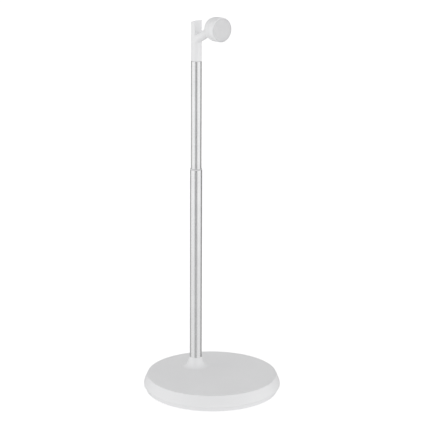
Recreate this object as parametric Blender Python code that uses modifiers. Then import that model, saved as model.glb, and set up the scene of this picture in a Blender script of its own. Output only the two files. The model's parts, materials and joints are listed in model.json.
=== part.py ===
"""Pole stand of a customer display.

A weighted round base carries a two-stage telescoping pole. The upper stage slides, and swivels
on its slider. A short angled arm on the head ends in a ball, on which a round mount tilts, and
the mount's face turns on its rear shell. +Z is up, the front is -Y, and the origin is on the
floor at the centre of the base. The constants are in millimetres, the objects in metres.
"""

import math

import bmesh
import bpy
from mathutils import Matrix, Vector

MM = 0.001
FIT = 0.3
RUNNING_FIT = 0.15

# Base
BASE_RADIUS = 125.0
BASE_TOP_RADIUS = 118.0
BASE_HEIGHT = 29.4
BASE_WIDEST_Z = 11.0
RIM_CURVE = 1.35
COVER_WALL = 2.8
COVER_EDGE_Z = 8.0
PLINTH_RADIUS = 120.5
FOOT_HEIGHT = 0.6
FOOT_RADIUS = 9.0
FOOT_CIRCLE = 100.0
TRAY_FLOOR = 2.6
TRAY_WALL = 2.5
TRAY_TOP_Z = 13.5
SCREW_CIRCLE = 107.0
BOSS_RADIUS = 4.2
BOSS_BORE = 1.8
BOSS_TOP_Z = 28.6
BALLAST_RADIUS = 98.0
BALLAST_THICKNESS = 12.0
TRAY_HOLE = 1.9
TRAY_RECESS = 3.9
BOLT_ACCESS = 10.0
BOLT_HOLE = 4.4
WASHER_RADIUS = 9.0
WASHER_TOP_Z = 9.4
PLUG_TOP_Z = 46.0
PLUG_BORE_Z = 41.0

# Collar round the pole
COLLAR_TOP_Z = 48.0
COLLAR_LIP = 1.2
COLLAR_FLARE = 13.0
COLLAR_RADIUS = 20.0
COLLAR_FLANGE = 2.0
FLANGE_RADIUS = 23.5
SLEEVE_RADIUS = 14.5
COVER_JOIN_Z = 28.5

# Pole
POLE_Y = 50.0
TUBE_WALL = 0.8
LOWER_TUBE_RADIUS = 11.0
UPPER_TUBE_RADIUS = 9.5
SEAM_Z = 405.0
BUSH_FLANGE = 1.7
BUSH_BOTTOM_Z = 345.0
NUB_Z = 393.5
NUB_RADIUS = 1.9
SLIDER_BOTTOM_Z = 318.0
SPIGOT_LENGTH = 20.0
SLIDER_CORE = 7.4
GROOVE_START = 6.0
GROOVE_END = 20.0
FRICTION_RING_INNER = 8.75
RETAINER_Z = 354.0

# Head
HEAD_BOTTOM_Z = 601.0
HEAD_TOP_Z = 674.0
HEAD_TOP_SLANT = math.radians(17.0)
HEAD_SPIGOT = 41.0
HEAD_CORE_TOP_Z = 630.0
HEAD_CORE_RADIUS = 5.0
HEAD_FLAT = 5.7
HEAD_FLAT_BOTTOM_Z = 646.0
HEAD_SCREW_Z = 592.0
ARM_RADIUS = 8.0
ARM_RISE = math.radians(27.0)
NECK_RADIUS = 4.8
NECK_END = 9.5
TAPER_END = 20.0
BALL_RADIUS = 8.5

# Round mount, measured forward from the centre of the ball
MOUNT_Z = 664.5
BALL_Y = -0.5
MOUNT_RADIUS = 21.5
MOUNT_BACK = -5.5
MOUNT_SEAM = 11.25
MOUNT_FRONT = 23.5
MOUNT_DOME = 5.5
SEAT_EDGE = 2.5
MOUNT_FRONT_ROUNDING = 1.2
MOUNT_WALL = 2.2
PILLAR_INNER = 9.6
PILLAR_OUTER = 14.6
PILLAR_FRONT = 9.0
HUB_PLATE_BACK = 9.3
HUB_BOSS_RADIUS = 5.0
HUB_BOSS_FRONT = 15.0
PAD_RADIUS = 19.6
PAD_THICKNESS = 1.2
MAGNET_RADIUS = 14.7
MAGNET_HOLE = 8.0
MAGNET_SEAT = 14.7
YOKE_THICKNESS = 1.3
MAGNET_THICKNESS = 4.9
PIN_RADIUS = 1.5

# Fasteners: shank radius, head radius and head height
TRAY_SCREW = (1.5, 3.5, 0.9)
TRAY_SCREW_TOP_Z = 16.0
POLE_BOLT = (4.0, 6.5, 5.6)
POLE_BOLT_TOP_Z = 38.0
POLE_BOLT_HEAD_Z = 2.0
BOLT_SOCKET = (3.0, 3.5)
HEAD_SCREW = (1.5, 2.6, 1.4)
PLATE_SCREW = (1.1, 2.2, 0.7)
HUB_SCREW = (1.5, 3.2, 2.0)

BIG_STEPS = 56
TUBE_STEPS = 32
SMALL_STEPS = 20
FASTENER_STEPS = 12

TRAY_BOTTOM_Z = FOOT_HEIGHT + FIT
TRAY_FLOOR_Z = TRAY_BOTTOM_Z + TRAY_FLOOR
BALLAST_BOTTOM_Z = TRAY_FLOOR_Z + FIT
BALLAST_TOP_Z = BALLAST_BOTTOM_Z + BALLAST_THICKNESS
TUBE_FOOT_Z = BALLAST_TOP_Z + FIT
LOWER_TUBE_TOP_Z = SEAM_Z - BUSH_FLANGE - RUNNING_FIT
LOWER_BORE = LOWER_TUBE_RADIUS - TUBE_WALL
UPPER_BORE = UPPER_TUBE_RADIUS - TUBE_WALL
UPPER_TUBE_TOP_Z = HEAD_BOTTOM_Z - FIT

POLE_AXIS = (0.0, POLE_Y, 0.0)
TOWARDS_FRONT = Matrix.Rotation(math.radians(90), 4, "X")
ALONG_X = Matrix.Rotation(math.radians(90), 4, "Y")
TOWARDS_BACK = Matrix.Rotation(math.radians(-90), 4, "X")


def clear_scene():
    for old in list(bpy.data.objects):
        bpy.data.objects.remove(old, do_unlink=True)


def make_collection(name):
    found = bpy.data.collections.new(name)
    bpy.context.scene.collection.children.link(found)
    return found


def make_material(name, colour, roughness, metallic=0.0):
    material = bpy.data.materials.new(name)
    material.use_nodes = True
    shader = material.node_tree.nodes["Principled BSDF"]
    shader.inputs["Base Color"].default_value = (*colour, 1.0)
    shader.inputs["Roughness"].default_value = roughness
    shader.inputs["Metallic"].default_value = metallic
    return material


def place_at(x, y, z, turn=None):
    """World matrix of a piece at a point given in millimetres."""
    moved = Matrix.Translation(Vector((x, y, z)) * MM)
    return moved @ turn if turn else moved


def arc(centre, radius, start, end, count):
    """Points along a circular arc in the profile plane, with the angles in degrees."""
    points = []
    for i in range(count + 1):
        angle = math.radians(start + (end - start) * i / count)
        points.append((centre[0] + radius * math.cos(angle), centre[1] + radius * math.sin(angle)))
    return points


def add_piece(name, mesh, place, material=None, parent=None):
    """Links a mesh as a part, or as a hidden cutter when it has no material."""
    piece = bpy.data.objects.new(name, mesh)
    if material:
        parts.objects.link(piece)
        mesh.materials.append(material)
    else:
        cutters.objects.link(piece)
        piece.hide_render = True
        piece.display_type = "WIRE"
    if parent:
        piece.parent = parent
        piece.matrix_parent_inverse = Matrix.Identity(4)
        piece.matrix_basis = parent.matrix_basis.inverted() @ place
    else:
        piece.matrix_basis = place
    return piece


def turned(name, profile, place, steps, material=None, parent=None, closed=True):
    """A turned piece. Its profile of (radius, height) runs down the outer side first."""
    mesh = bpy.data.meshes.new(name)
    edges = [(i, i + 1) for i in range(len(profile) - 1)]
    if closed:
        edges.append((len(profile) - 1, 0))
    mesh.from_pydata([(r * MM, 0.0, z * MM) for r, z in profile], edges, [])
    piece = add_piece(name, mesh, place, material, parent)
    screw = piece.modifiers.new("turn", "SCREW")
    screw.axis = "Z"
    screw.steps = steps
    screw.render_steps = steps
    screw.use_merge_vertices = True
    screw.merge_threshold = 0.00001
    screw.use_smooth_shade = True
    return piece


def solid_turned(name, profile, place, steps, material=None, parent=None):
    """A turned piece whose profile starts and ends on its axis."""
    return turned(name, profile, place, steps, material, parent, closed=False)


def ring(name, inner, outer, low, high, place, steps, material=None, parent=None):
    profile = [(outer, high), (outer, low), (inner, low), (inner, high)]
    return turned(name, profile, place, steps, material, parent)


def rod(name, radius, low, high, place, steps, material=None, parent=None):
    profile = [(0, high), (radius, high), (radius, low), (0, low)]
    return solid_turned(name, profile, place, steps, material, parent)


def block(name, low, high, place=None):
    """A hidden box cutter between two corners in millimetres."""
    mesh = bpy.data.meshes.new(name)
    shape = bmesh.new()
    bmesh.ops.create_cube(shape, size=1.0)
    size = [(b - a) * MM for a, b in zip(low, high)]
    middle = [(a + b) / 2 * MM for a, b in zip(low, high)]
    bmesh.ops.scale(shape, vec=size, verts=shape.verts)
    bmesh.ops.translate(shape, vec=middle, verts=shape.verts)
    shape.to_mesh(mesh)
    shape.free()
    return add_piece(name, mesh, place or Matrix.Identity(4))


def combine(piece, tool, operation):
    change = piece.modifiers.new(tool.name, "BOOLEAN")
    change.operation = operation
    change.solver = "EXACT"
    change.object = tool


def cut(piece, tool):
    combine(piece, tool, "DIFFERENCE")


def join(piece, tool):
    combine(piece, tool, "UNION")


def ring_points(radius, count, first_angle):
    for i in range(count):
        angle = math.radians(first_angle + 360 * i / count)
        yield i + 1, radius * math.cos(angle), radius * math.sin(angle)


def screw_profile(shank, head, head_height, head_end, tip):
    """A flat-headed screw from the outer face of its head to its tip, in either direction."""
    under_head = head_end + math.copysign(head_height, tip - head_end)
    profile = [(0, tip), (shank, tip), (shank, under_head)]
    profile += [(head, under_head), (head, head_end), (0, head_end)]
    return profile if tip > head_end else profile[::-1]


def rim_curve(radius, top_z, count):
    """The rim's outer side, from the edge of the top disc down to its widest circle."""
    points = []
    for i in range(count + 1):
        share = 1 - i / count
        z = BASE_WIDEST_Z + (top_z - BASE_WIDEST_Z) * share
        points.append((radius - (BASE_RADIUS - BASE_TOP_RADIUS) * share**RIM_CURVE, z))
    return points


def base_cover(material):
    lip = BASE_WIDEST_Z - COVER_EDGE_Z
    outside = rim_curve(BASE_RADIUS, BASE_HEIGHT, 5)
    under_lip = arc((BASE_RADIUS - lip, BASE_WIDEST_Z), lip, -25, -90, 3)
    ceiling = BASE_HEIGHT - COVER_WALL
    inside = rim_curve(BASE_RADIUS - COVER_WALL, ceiling, 3)
    inner_lip = PLINTH_RADIUS + FIT
    profile = [(0, BASE_HEIGHT), *outside, *under_lip, (inner_lip, COVER_EDGE_Z)]
    profile += [(inner_lip, BASE_WIDEST_Z), *reversed(inside), (0, ceiling)]
    cover = solid_turned("base_cover", profile, place_at(0, 0, 0), BIG_STEPS, material)
    join(cover, collar_foot())
    for number, x, y in ring_points(SCREW_CIRCLE, 4, 45):
        spot = place_at(x, y, 0)
        profile = [(0, BOSS_TOP_Z), (BOSS_RADIUS, BOSS_TOP_Z), (BOSS_RADIUS, BALLAST_BOTTOM_Z)]
        profile += [(BOSS_BORE, BALLAST_BOTTOM_Z), (BOSS_BORE, 20), (0, 20)]
        join(cover, solid_turned(f"boss_{number}", profile, spot, FASTENER_STEPS))
    opening = COLLAR_RADIUS + FIT
    cut(cover, rod("collar_opening", opening, 20, 40, place_at(*POLE_AXIS), TUBE_STEPS))


def flare_points(first_radius, last_radius, count):
    """The flare's outer side between two radii, from the collar's lip towards the cover's top."""
    lip = LOWER_TUBE_RADIUS + COLLAR_LIP
    rise = COLLAR_TOP_Z - BASE_HEIGHT + 0.1
    start = math.acos(1 - (first_radius - lip) / COLLAR_FLARE)
    end = math.acos(1 - (last_radius - lip) / COLLAR_FLARE)
    points = []
    for i in range(count + 1):
        angle = start + (end - start) * i / count
        radius = lip + COLLAR_FLARE * (1 - math.cos(angle))
        points.append((radius, COLLAR_TOP_Z - rise * math.sin(angle)))
    return points


def collar_foot():
    """The low outer part of the flare, which belongs to the cover."""
    edge = LOWER_TUBE_RADIUS + COLLAR_LIP + COLLAR_FLARE
    profile = flare_points(COLLAR_RADIUS - 2, edge, 3)
    profile += [(edge, COVER_JOIN_Z), (COLLAR_RADIUS - 2, COVER_JOIN_Z)]
    return turned("collar_foot", profile, place_at(*POLE_AXIS), TUBE_STEPS)


def pole_collar(material):
    """The collar round the pole, flanged under the cover, with a sleeve that guides the tube."""
    bore = LOWER_TUBE_RADIUS + FIT
    flange_top = BASE_HEIGHT - COVER_WALL - FIT
    flange_low = flange_top - COLLAR_FLANGE
    profile = flare_points(LOWER_TUBE_RADIUS + COLLAR_LIP, COLLAR_RADIUS, 4)
    profile += [(COLLAR_RADIUS, flange_top), (FLANGE_RADIUS, flange_top)]
    profile += [(FLANGE_RADIUS, flange_low), (SLEEVE_RADIUS, flange_low)]
    profile += [(SLEEVE_RADIUS, TUBE_FOOT_Z + 1), (bore, TUBE_FOOT_Z + 1), (bore, COLLAR_TOP_Z)]
    turned("pole_collar", profile, place_at(*POLE_AXIS), TUBE_STEPS, material)


def base_tray(material):
    inner = PLINTH_RADIUS - TRAY_WALL
    profile = [(0, TRAY_FLOOR_Z), (inner, TRAY_FLOOR_Z), (inner, TRAY_TOP_Z)]
    profile += [(PLINTH_RADIUS, TRAY_TOP_Z), (PLINTH_RADIUS, TRAY_BOTTOM_Z + 0.6)]
    profile += [(PLINTH_RADIUS - 0.6, TRAY_BOTTOM_Z), (0, TRAY_BOTTOM_Z)]
    tray = solid_turned("base_tray", profile, place_at(0, 0, 0), BIG_STEPS, material)
    cut(tray, rod("bolt_access", BOLT_ACCESS, 0, 10, place_at(*POLE_AXIS), SMALL_STEPS))
    for number, x, y in ring_points(SCREW_CIRCLE, 4, 45):
        spot = place_at(x, y, 0)
        cut(tray, rod(f"tray_hole_{number}", TRAY_HOLE, 0, 10, spot, FASTENER_STEPS))
        recess = TRAY_BOTTOM_Z + 1.3
        cut(tray, rod(f"tray_counterbore_{number}", TRAY_RECESS, 0, recess, spot, FASTENER_STEPS))


def base_fittings(rubber, steel):
    for number, x, y in ring_points(FOOT_CIRCLE, 4, 0):
        profile = [(0, FOOT_HEIGHT), (FOOT_RADIUS, FOOT_HEIGHT), (FOOT_RADIUS, 0.3)]
        profile += [(FOOT_RADIUS - 0.3, 0), (0, 0)]
        solid_turned(f"foot_pad_{number}", profile, place_at(x, y, 0), SMALL_STEPS, rubber)
    for number, x, y in ring_points(SCREW_CIRCLE, 4, 45):
        profile = screw_profile(*TRAY_SCREW, TRAY_BOTTOM_Z + 0.1, TRAY_SCREW_TOP_Z)
        solid_turned(f"tray_screw_{number}", profile, place_at(x, y, 0), FASTENER_STEPS, steel)


def ballast(iron):
    top, low, edge = BALLAST_TOP_Z, BALLAST_BOTTOM_Z, BALLAST_RADIUS
    profile = [(0, top), (edge - 1, top), (edge, top - 1), (edge, low + 1), (edge - 1, low), (0, low)]
    disc = solid_turned("ballast_disc", profile, place_at(0, 0, 0), BIG_STEPS, iron)
    spot = place_at(*POLE_AXIS)
    cut(disc, rod("bolt_hole", BOLT_HOLE, 0, 30, spot, SMALL_STEPS))
    cut(disc, rod("bolt_counterbore", BOLT_ACCESS, 0, WASHER_TOP_Z + FIT, spot, SMALL_STEPS))


def pole_fastening(steel):
    spot = place_at(*POLE_AXIS)
    profile = screw_profile(*POLE_BOLT, POLE_BOLT_HEAD_Z, POLE_BOLT_TOP_Z)
    socket, depth = BOLT_SOCKET
    bottom = POLE_BOLT_HEAD_Z + depth
    profile[-1:] = [(socket, POLE_BOLT_HEAD_Z), (socket, bottom), (0, bottom)]
    solid_turned("pole_bolt", profile, spot, SMALL_STEPS, steel)
    ring("pole_washer", BOLT_HOLE, WASHER_RADIUS, 7.9, WASHER_TOP_Z, spot, SMALL_STEPS, steel)
    plug_radius = LOWER_BORE - FIT
    profile = [(0, PLUG_TOP_Z), (plug_radius, PLUG_TOP_Z), (plug_radius, TUBE_FOOT_Z)]
    profile += [(BOLT_HOLE, TUBE_FOOT_Z), (BOLT_HOLE, PLUG_BORE_Z), (0, PLUG_BORE_Z)]
    solid_turned("pole_foot_plug", profile, spot, SMALL_STEPS, steel)


def lower_tube(steel):
    spot = place_at(*POLE_AXIS)
    outer = LOWER_TUBE_RADIUS
    tube = ring("lower_tube", LOWER_BORE, outer, TUBE_FOOT_Z, LOWER_TUBE_TOP_Z, spot, TUBE_STEPS, steel)
    across = place_at(0, POLE_Y, NUB_Z, ALONG_X)
    cut(tube, rod("nub_holes", NUB_RADIUS + FIT, -20, 20, across, FASTENER_STEPS))


def guide_bush(plastic):
    spot = place_at(*POLE_AXIS)
    sleeve = LOWER_BORE - RUNNING_FIT
    bore = UPPER_TUBE_RADIUS + RUNNING_FIT
    profile = [(bore + 0.3, SEAM_Z), (LOWER_TUBE_RADIUS - 0.2, SEAM_Z)]
    profile += [(LOWER_TUBE_RADIUS, SEAM_Z - 0.2)]
    profile += [(LOWER_TUBE_RADIUS, SEAM_Z - BUSH_FLANGE), (sleeve, SEAM_Z - BUSH_FLANGE)]
    profile += [(sleeve, BUSH_BOTTOM_Z), (bore, BUSH_BOTTOM_Z), (bore, SEAM_Z - 0.3)]
    bush = turned("guide_bush", profile, spot, TUBE_STEPS, plastic)
    across = place_at(0, POLE_Y, NUB_Z, ALONG_X)
    nubs = LOWER_TUBE_RADIUS + 0.15
    join(bush, rod("nub_bar", NUB_RADIUS, -nubs, nubs, across, FASTENER_STEPS))
    cut(bush, rod("bush_bore", bore, NUB_Z - 10, NUB_Z + 10, spot, TUBE_STEPS))


def slider(plastic, steel, parent):
    """The plug that runs inside the lower tube and carries the upper tube."""
    shoulder = LOWER_BORE - 0.25
    spigot = UPPER_BORE - 0.25
    core = SLIDER_CORE
    top = BUSH_BOTTOM_Z - FIT
    low = SLIDER_BOTTOM_Z
    end = top + SPIGOT_LENGTH
    groove_low, groove_high = low + GROOVE_START, low + GROOVE_END
    profile = [(0, end), (spigot - 0.6, end), (spigot, end - 0.6)]
    profile += [(spigot, RETAINER_Z + 1.8), (core - 0.2, RETAINER_Z + 1.8)]
    profile += [(core - 0.2, RETAINER_Z - 1.8), (spigot, RETAINER_Z - 1.8)]
    profile += [(spigot, top), (shoulder, top), (shoulder, groove_high), (core, groove_high)]
    profile += [(core, groove_low), (shoulder, groove_low), (shoulder, low + 0.6)]
    profile += [(shoulder - 0.6, low), (0, low)]
    spot = place_at(*POLE_AXIS)
    solid_turned("slider_plug", profile, spot, TUBE_STEPS, plastic, parent)
    grip = LOWER_BORE - RUNNING_FIT
    size = (FRICTION_RING_INNER, grip, groove_low + FIT, groove_high - FIT)
    friction = ring("friction_ring", *size, spot, TUBE_STEPS, plastic, parent)
    size = (core + FIT, FRICTION_RING_INNER - FIT, groove_low + 2, groove_high - 2)
    expander = ring("expander_spring", *size, spot, TUBE_STEPS, steel, parent)
    slit = block("slider_slit", (-1.5, POLE_Y, low), (1.5, POLE_Y + 15, low + 25))
    cut(friction, slit)
    cut(expander, slit)


def upper_tube(steel, parent):
    spot = place_at(*POLE_AXIS)
    size = (UPPER_BORE, UPPER_TUBE_RADIUS, BUSH_BOTTOM_Z, UPPER_TUBE_TOP_Z)
    tube = ring("upper_tube", *size, spot, TUBE_STEPS, steel, parent)
    pin_spot = place_at(0, POLE_Y, RETAINER_Z, TOWARDS_BACK)
    cut(tube, rod("retainer_hole", 1.5, 4, 15, pin_spot, FASTENER_STEPS))
    rod("retaining_pin", 1.2, 7.5, 9.35, pin_spot, FASTENER_STEPS, steel, parent)
    screw_spot = place_at(0, POLE_Y, HEAD_SCREW_Z, TOWARDS_BACK)
    cut(tube, rod("head_screw_hole", 1.8, 4, 15, screw_spot, FASTENER_STEPS))
    profile = screw_profile(*HEAD_SCREW, UPPER_TUBE_RADIUS + 0.25 + HEAD_SCREW[2], 6.3)
    solid_turned("head_screw", profile, screw_spot, FASTENER_STEPS, steel, parent)


def head_body(plastic, parent):
    spot = place_at(*POLE_AXIS)
    spigot = UPPER_BORE - FIT
    outer = UPPER_TUBE_RADIUS
    low = HEAD_BOTTOM_Z - HEAD_SPIGOT
    profile = [(0, HEAD_TOP_Z + 5), (outer, HEAD_TOP_Z + 5), (outer, HEAD_BOTTOM_Z)]
    profile += [(spigot, HEAD_BOTTOM_Z), (spigot, low), (HEAD_CORE_RADIUS, low)]
    profile += [(HEAD_CORE_RADIUS, HEAD_CORE_TOP_Z), (0, HEAD_CORE_TOP_Z)]
    head = solid_turned("head_body", profile, spot, TUBE_STEPS, plastic, parent)
    flat_low = (-20, POLE_Y - 20, HEAD_FLAT_BOTTOM_Z)
    flat_high = (20, POLE_Y - HEAD_FLAT, HEAD_TOP_Z + 10)
    cut(head, block("head_flat", flat_low, flat_high))
    slant = Matrix.Rotation(-HEAD_TOP_SLANT, 4, "X")
    top_edge = place_at(0, POLE_Y - HEAD_FLAT, HEAD_TOP_Z, slant)
    cut(head, block("head_top", (-20, -10, 0), (20, 40, 20), top_edge))
    join(head, arm_with_ball())
    ball_spot = place_at(0, BALL_Y, MOUNT_Z, ALONG_X)
    cut(head, rod("ball_pin_hole", PIN_RADIUS + FIT, -20, 20, ball_spot, FASTENER_STEPS))
    screw_spot = place_at(0, POLE_Y, HEAD_SCREW_Z, TOWARDS_BACK)
    cut(head, rod("spigot_hole", 1.8, 2, 15, screw_spot, FASTENER_STEPS))


def arm_with_ball():
    """The arm as one turned bar: a ball, a neck, a taper, and a round arm back to the pole."""
    behind = 180 - math.degrees(math.asin(NECK_RADIUS / BALL_RADIUS))
    length = (POLE_Y - BALL_Y) / math.cos(ARM_RISE)
    profile = []
    for i in range(11):
        angle = math.radians(behind * i / 10)
        profile.append((BALL_RADIUS * math.sin(angle), BALL_RADIUS * math.cos(angle)))
    profile += [(NECK_RADIUS, -NECK_END), (ARM_RADIUS - 0.5, 2 - TAPER_END), (ARM_RADIUS, -TAPER_END)]
    profile += [(ARM_RADIUS, -length), (0, -length)]
    uphill = Matrix.Rotation(math.radians(90) - ARM_RISE, 4, "X")
    return solid_turned("arm_with_ball", profile, place_at(0, BALL_Y, MOUNT_Z, uphill), SMALL_STEPS)


def dome_points(count):
    """The rear shell's outer side, a long dome from the seam to its flat back."""
    front = MOUNT_SEAM - FIT / 2
    depth = front - MOUNT_BACK
    points = []
    for i in range(count + 1):
        angle = math.radians(90 * i / count)
        radius = MOUNT_RADIUS - MOUNT_DOME * (1 - math.cos(angle))
        points.append((radius, front - depth * math.sin(angle)))
    return points


def mount_rear_shell(plastic, parent):
    """The rounded rear half of the mount, with the seat of the ball and two pillars for its pin."""
    inner = MOUNT_RADIUS - MOUNT_WALL
    seat = BALL_RADIUS + FIT
    profile = [*dome_points(8), (12.5, MOUNT_BACK)]
    profile += [(math.sqrt(seat**2 - SEAT_EDGE**2), -SEAT_EDGE), (math.sqrt(seat**2 - 1), -1.0)]
    profile += [(12.5, -1.6), (16.0, -0.6), (inner - 1, 3.0), (inner, 6.0), (inner, MOUNT_SEAM - FIT / 2)]
    place = place_at(0, BALL_Y, MOUNT_Z, TOWARDS_FRONT)
    shell = turned("mount_rear_shell", profile, place, TUBE_STEPS, plastic, parent)
    for side in (-1, 1):
        x_low, x_high = sorted((side * PILLAR_INNER, side * PILLAR_OUTER))
        pillar = block(f"pillar_{side}", (x_low, -4, -2.2), (x_high, 4, PILLAR_FRONT), place)
        join(shell, pillar)
        screw_x = side * (PILLAR_INNER + PILLAR_OUTER) / 2
        hole = place @ place_at(screw_x, 0, 0)
        cut(shell, rod(f"pillar_hole_{side}", 1.4, 3.0, 12, hole, FASTENER_STEPS))
    pin_place = place_at(0, BALL_Y, MOUNT_Z, ALONG_X)
    cut(shell, rod("pillar_pin_hole", PIN_RADIUS + FIT, -14, 14, pin_place, FASTENER_STEPS))


def mount_inner_pieces(plastic, steel, parent):
    """What the rear shell holds: the tilt pin, the ball's front seat, its spring and the hub plate."""
    place = place_at(0, BALL_Y, MOUNT_Z, TOWARDS_FRONT)
    pin_place = place_at(0, BALL_Y, MOUNT_Z, ALONG_X)
    rod("tilt_pin", PIN_RADIUS, -13.6, 13.6, pin_place, FASTENER_STEPS, steel, parent)
    seat = BALL_RADIUS + FIT
    profile = [(9.3, 8.0), (9.3, 4.8), (math.sqrt(seat**2 - 4.8**2) + 0.1, 4.8)]
    profile += [(math.sqrt(seat**2 - 6.3**2) + 0.1, 6.3), (4.7, 7.6), (4.7, 8.0)]
    turned("socket_cup", profile, place, SMALL_STEPS, plastic, parent)
    ring("socket_spring", 5.2, 9.0, 8.3, 9.0, place, SMALL_STEPS, steel, parent)
    front = MOUNT_SEAM - FIT / 2
    edge = MOUNT_RADIUS - MOUNT_WALL - FIT
    profile = [(HUB_BOSS_RADIUS, HUB_BOSS_FRONT), (HUB_BOSS_RADIUS, front), (edge, front)]
    profile += [(edge, HUB_PLATE_BACK), (1.8, HUB_PLATE_BACK), (1.8, HUB_BOSS_FRONT)]
    plate = turned("hub_plate", profile, place, TUBE_STEPS, plastic, parent)
    for side, label in ((-1, "left"), (1, "right")):
        spot = place @ place_at(side * (PILLAR_INNER + PILLAR_OUTER) / 2, 0, 0)
        stepped = [(0, 13), (2.6, 13), (2.6, front - 1.0), (1.5, front - 1.0), (1.5, 8), (0, 8)]
        cut(plate, solid_turned(f"plate_hole_{label}", stepped, spot, FASTENER_STEPS))
        profile = screw_profile(*PLATE_SCREW, front - 0.1, 4.0)
        solid_turned(f"plate_screw_{label}", profile, spot, FASTENER_STEPS, steel, parent)
    ring("hub_washer", 1.8, 7.5, 15.3, 16.2, place, SMALL_STEPS, steel, parent)
    profile = screw_profile(*HUB_SCREW, 16.5 + HUB_SCREW[2], 10.0)
    solid_turned("hub_screw", profile, place, FASTENER_STEPS, steel, parent)


def mount_face(plastic, rubber, steel, magnet, parent):
    """The front half of the mount, which turns on the hub: housing, magnet, yoke and pad."""
    place = place_at(0, BALL_Y, MOUNT_Z, TOWARDS_FRONT)
    rounding = MOUNT_FRONT_ROUNDING
    back = MOUNT_SEAM + FIT / 2
    pad_floor = MOUNT_FRONT - PAD_THICKNESS - 0.5
    corner = (MOUNT_RADIUS - rounding, MOUNT_FRONT - rounding)
    profile = [*arc(corner, rounding, 90, 0, 2), (MOUNT_RADIUS, back), (HUB_BOSS_RADIUS + FIT, back)]
    profile += [(HUB_BOSS_RADIUS + FIT, MAGNET_SEAT), (MAGNET_RADIUS + FIT, MAGNET_SEAT)]
    profile += [(MAGNET_RADIUS + FIT, pad_floor)]
    profile += [(PAD_RADIUS + FIT, pad_floor), (PAD_RADIUS + FIT, MOUNT_FRONT)]
    turned("mount_face_housing", profile, place, TUBE_STEPS, plastic, parent)
    yoke_back = MAGNET_SEAT + FIT
    magnet_back = yoke_back + YOKE_THICKNESS + FIT
    size = (MAGNET_HOLE, MAGNET_RADIUS, yoke_back, yoke_back + YOKE_THICKNESS)
    ring("magnet_yoke", *size, place, SMALL_STEPS, steel, parent)
    size = (MAGNET_HOLE, MAGNET_RADIUS, magnet_back, magnet_back + MAGNET_THICKNESS)
    ring("mount_magnet", *size, place, SMALL_STEPS, magnet, parent)
    low = pad_floor + FIT
    high = low + PAD_THICKNESS
    profile = [(0, high), (PAD_RADIUS - 0.3, high), (PAD_RADIUS, high - 0.3)]
    profile += [(PAD_RADIUS, low), (0, low)]
    solid_turned("face_pad", profile, place, TUBE_STEPS, rubber, parent)


def axis_empty(name, place):
    empty = bpy.data.objects.new(name, None)
    bpy.context.scene.collection.objects.link(empty)
    empty.matrix_basis = place
    return empty


clear_scene()
parts = make_collection("customer_pole_display")
cutters = make_collection("cutters")

white_plastic = make_material("white_plastic", (0.86, 0.86, 0.87), 0.4)
grey_rubber = make_material("grey_rubber", (0.62, 0.62, 0.63), 0.8)
foot_rubber = make_material("foot_rubber", (0.12, 0.12, 0.12), 0.85)
polished_steel = make_material("polished_steel", (0.78, 0.78, 0.79), 0.12, 1.0)
plain_steel = make_material("plain_steel", (0.55, 0.55, 0.56), 0.4, 1.0)
cast_iron = make_material("cast_iron", (0.2, 0.2, 0.21), 0.7, 0.6)
bush_plastic = make_material("bush_plastic", (0.72, 0.72, 0.73), 0.5)
magnet_metal = make_material("magnet_metal", (0.45, 0.45, 0.46), 0.35, 1.0)

base_cover(white_plastic)
pole_collar(white_plastic)
base_tray(white_plastic)
base_fittings(foot_rubber, plain_steel)
ballast(cast_iron)
pole_fastening(plain_steel)
lower_tube(polished_steel)
guide_bush(bush_plastic)

slide_axis = axis_empty("slide_axis", place_at(*POLE_AXIS))
swivel_axis = axis_empty("swivel_axis", place_at(*POLE_AXIS))
tilt_axis = axis_empty("tilt_axis", place_at(0, BALL_Y, MOUNT_Z))
spin_axis = axis_empty("spin_axis", place_at(0, BALL_Y, MOUNT_Z))

slider(bush_plastic, plain_steel, slide_axis)
upper_tube(polished_steel, swivel_axis)
head_body(white_plastic, swivel_axis)
mount_rear_shell(white_plastic, tilt_axis)
mount_inner_pieces(bush_plastic, plain_steel, tilt_axis)
mount_face(white_plastic, grey_rubber, plain_steel, magnet_metal, spin_axis)
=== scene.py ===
"""Looks of the pole stand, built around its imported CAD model. Sizes here are in millimetres."""

import json
import math

import bmesh
import bpy
import numpy as np
from mathutils import Matrix, Vector

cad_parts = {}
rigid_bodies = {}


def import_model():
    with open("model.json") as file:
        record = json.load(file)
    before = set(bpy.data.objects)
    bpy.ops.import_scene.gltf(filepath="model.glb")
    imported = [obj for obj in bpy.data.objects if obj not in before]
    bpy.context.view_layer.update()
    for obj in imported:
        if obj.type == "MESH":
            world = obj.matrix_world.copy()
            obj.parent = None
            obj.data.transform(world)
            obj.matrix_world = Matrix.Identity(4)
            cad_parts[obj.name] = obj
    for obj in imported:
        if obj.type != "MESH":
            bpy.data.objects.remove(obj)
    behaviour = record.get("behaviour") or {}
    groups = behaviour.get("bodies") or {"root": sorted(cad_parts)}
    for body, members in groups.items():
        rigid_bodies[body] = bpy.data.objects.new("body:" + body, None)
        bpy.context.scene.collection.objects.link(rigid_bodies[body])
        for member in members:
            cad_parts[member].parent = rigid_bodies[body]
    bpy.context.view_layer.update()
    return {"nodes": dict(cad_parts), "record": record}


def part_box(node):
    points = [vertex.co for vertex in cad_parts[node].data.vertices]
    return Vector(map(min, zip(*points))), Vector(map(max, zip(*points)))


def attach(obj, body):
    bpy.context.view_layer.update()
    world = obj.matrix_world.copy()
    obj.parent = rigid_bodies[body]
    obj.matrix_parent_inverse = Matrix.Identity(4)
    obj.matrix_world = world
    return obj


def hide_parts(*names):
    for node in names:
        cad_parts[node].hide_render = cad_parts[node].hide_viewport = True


MM = 0.001
SEGMENTS = 128
NOTHING = 1e-6

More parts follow.
